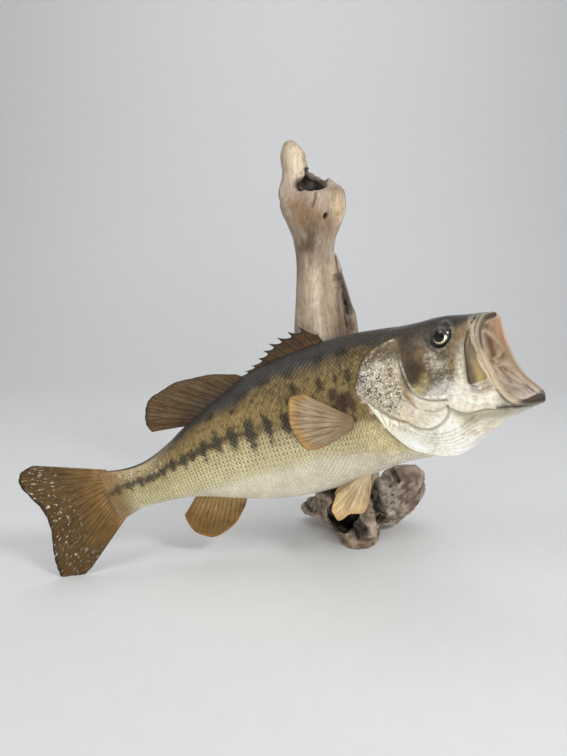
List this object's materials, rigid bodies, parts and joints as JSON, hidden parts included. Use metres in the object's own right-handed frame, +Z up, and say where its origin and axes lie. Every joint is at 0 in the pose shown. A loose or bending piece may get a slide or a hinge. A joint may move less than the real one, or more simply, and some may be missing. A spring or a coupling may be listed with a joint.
{
  "type": "mounted largemouth bass on driftwood",
  "caption": "Life-size taxidermy largemouth bass with open mouth, curved body and spread fins, carried on an upright piece of driftwood.",
  "frame": {"origin": "on the floor, in the flat under the front of the driftwood's root", "axes": "+X from the tail towards the head, -Y towards the side on show, +Z up"},
  "size_m": [0.5065, 0.2676, 0.4758],
  "materials": {
    "skin": "satin, clear-coated",
    "jaw": "clear-coated",
    "belly": "clear-coated",
    "fin": "satin",
    "eye": "polished",
    "driftwood": "weathered"
  },
  "bodies": {
    "root": {"head": "skin", "upper_jaw": "jaw", "lower_jaw": "jaw", "throat": "belly", "trunk_front": "skin", "trunk_rear": "skin", "tail_stalk": "skin", "eye_right": "eye", "eye_left": "eye", "gill_cover_right": "skin", "gill_cover_left": "skin", "maxilla_right": "jaw", "maxilla_left": "jaw", "dorsal_fin_soft": "fin", "dorsal_fin_spiny": "fin", "anal_fin": "fin", "tail_fin": "fin", "pectoral_fin_right": "fin", "pectoral_fin_left": "fin", "pelvic_fin_right": "fin", "pelvic_fin_left": "fin", "driftwood": "driftwood"}
  },
  "joints": []
}
